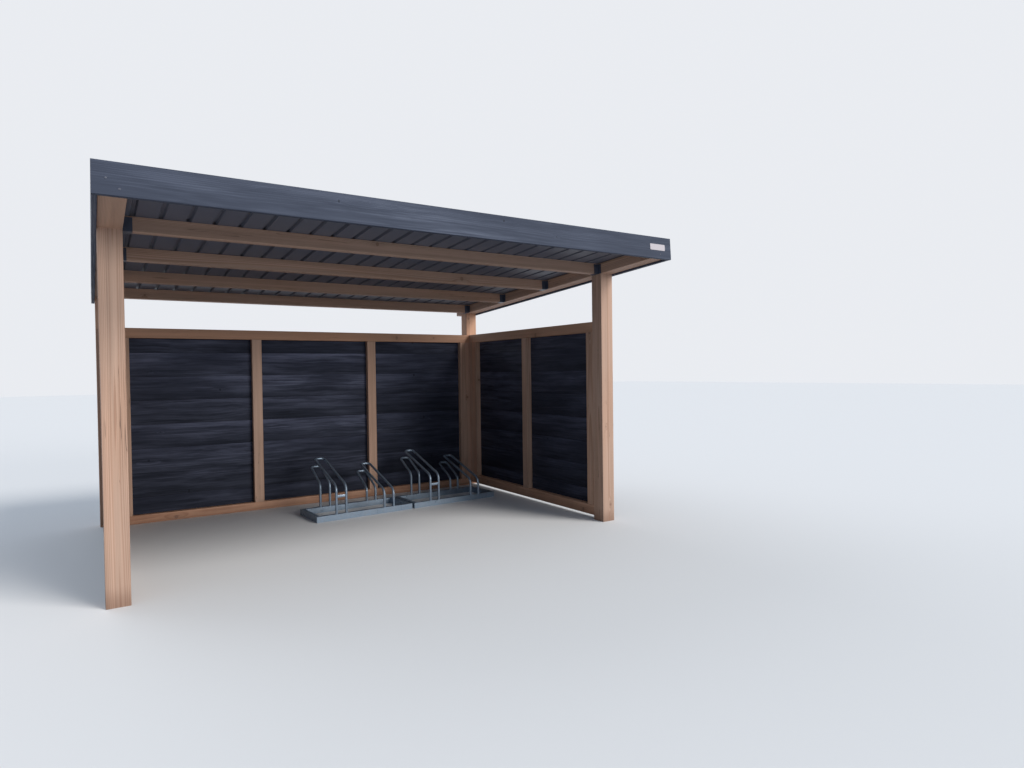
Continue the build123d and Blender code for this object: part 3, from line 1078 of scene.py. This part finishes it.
class SHELTER_OT_stage(ShelterOperator, bpy.types.Operator):
    """Lays the pale floor, hangs the soft lamps and sets the camera"""

    bl_idname = "shelter.stage"
    bl_label = "Stage"

    def execute(self, context):
        look = context.scene.shelter_stage
        self.lay_floor(look)
        self.light_world(context, look)
        for name, (toward, spread, colour) in LAMPS.items():
            self.hang_lamp(name, getattr(look, name), toward, spread, colour)
        self.set_camera(context, look)
        context.scene.view_settings.view_transform = "Standard"
        return {"FINISHED"}

    def lay_floor(self, look):
        """A flat grid, pale to the camera and duller to bounced light, with the shelter's shadow."""
        lines = np.linspace(-FLOOR_REACH, FLOOR_REACH, FLOOR_LINES)
        points = np.stack(np.meshgrid(lines, lines, FLOOR_LEVEL, indexing="ij"), -1)
        faces = grid_faces(FLOOR_LINES, FLOOR_LINES)[:, ::-1]
        finish = Finish("pale_floor")
        dull = finish.add("ShaderNodeBsdfDiffuse", {}, {0: FLOOR_BOUNCE * np.array(look.floor_shade)})
        pale = finish.add("ShaderNodeBsdfDiffuse", {}, {0: look.floor_shade})
        finish.surface(finish.add("ShaderNodeMixShader", {}, {0: finish.looked_at(), 1: dull, 2: pale}))
        floor = add_object("floor", make_mesh("floor", [(points, [faces])], finish.material))

    def light_world(self, context, look):
        """A plain pale surround to look at, and a cooler, weaker one as light."""
        world = bpy.data.worlds.new("surround")
        context.scene.world = world
        work = NodeWork(world)
        light = work.add("ShaderNodeBackground", {}, {0: look.ambient_shade, 1: look.ambient})
        seen = work.add("ShaderNodeBackground", {}, {0: look.backdrop_shade, 1: 1.0})
        work.surface(work.add("ShaderNodeMixShader", {}, {0: work.looked_at(), 1: light, 2: seen}))

    def hang_lamp(self, name, strength, toward, spread, colour):
        """A broad far lamp, so that it lights the whole floor evenly; toward points at it."""
        lamp = bpy.data.lights.new(name, "SUN")
        lamp.energy = strength
        lamp.angle = math.radians(spread)
        lamp.color = colour
        turn = (-Vector(toward)).to_track_quat("-Z", "Y")
        add_object(name, lamp).rotation_euler = turn.to_euler()

    def set_camera(self, context, look):
        """The camera at the picture's own place and angle: rolled, tilted and then turned."""
        roll = Matrix.Rotation(look.roll, 4, "Z")
        tilt = Matrix.Rotation(math.pi / 2 + look.tilt, 4, "X")
        heading = Matrix.Rotation(-look.heading, 4, "Z")
        lens = bpy.data.cameras.new("camera")
        lens.sensor_width = SENSOR_WIDTH
        lens.lens = SENSOR_WIDTH * look.focal_pixels / look.picture_width
        lens.clip_end = 200.0
        camera = add_object("camera", lens)
        eye = Vector((POST_LOW.x, POST_LOW.y, 0)) + Vector(look.eye)
        camera.matrix_world = Matrix.Translation(eye) @ heading @ tilt @ roll
        context.scene.camera = camera


class SHELTER_PT_panel(bpy.types.Panel):
    """The shelter's sizes, colours and steps"""

    bl_idname = "SHELTER_PT_panel"
    bl_label = "Bike shelter"
    bl_space_type = "VIEW_3D"
    bl_region_type = "UI"
    bl_category = "Shelter"

    def draw(self, context):
        for group, operator in STEPS:
            box = self.layout.box()
            settings = getattr(context.scene, group, None)
            if settings is not None:
                for name in settings.bl_rna.properties.keys():
                    if name not in ("rna_type", "name"):
                        box.prop(settings, name)
            box.operator(operator.bl_idname)


GROUPS = {
    "shelter_timber": TimberLook,
    "shelter_boards": BoardSizes,
    "shelter_fascias": FasciaLook,
    "shelter_roof": RoofLook,
    "shelter_racks": RackSizes,
    "shelter_stage": StageLook,
}
STEPS = (
    ("shelter_timber", SHELTER_OT_timber),
    ("shelter_boards", SHELTER_OT_walls),
    ("shelter_fascias", SHELTER_OT_fascias),
    ("shelter_roof", SHELTER_OT_roof),
    ("", SHELTER_OT_hangers),
    ("shelter_racks", SHELTER_OT_racks),
    ("shelter_stage", SHELTER_OT_stage),
)
CLASSES = (*GROUPS.values(), *(operator for _, operator in STEPS), SHELTER_PT_panel)


def register():
    """Registers the classes and hangs the settings on the scene."""
    for cls in CLASSES:
        bpy.utils.register_class(cls)
    for name, group in GROUPS.items():
        setattr(bpy.types.Scene, name, bpy.props.PointerProperty(type=group))


def unregister():
    """Takes the settings and classes away again."""
    for name in GROUPS:
        delattr(bpy.types.Scene, name)
    for cls in reversed(CLASSES):
        bpy.utils.unregister_class(cls)


def main():
    register()
    bpy.ops.shelter.timber()
    bpy.ops.shelter.walls()
    bpy.ops.shelter.fascias()
    bpy.ops.shelter.roof()
    bpy.ops.shelter.hangers()
    bpy.ops.shelter.racks()
    bpy.ops.shelter.stage()


if __name__ == "__main__":
    main()
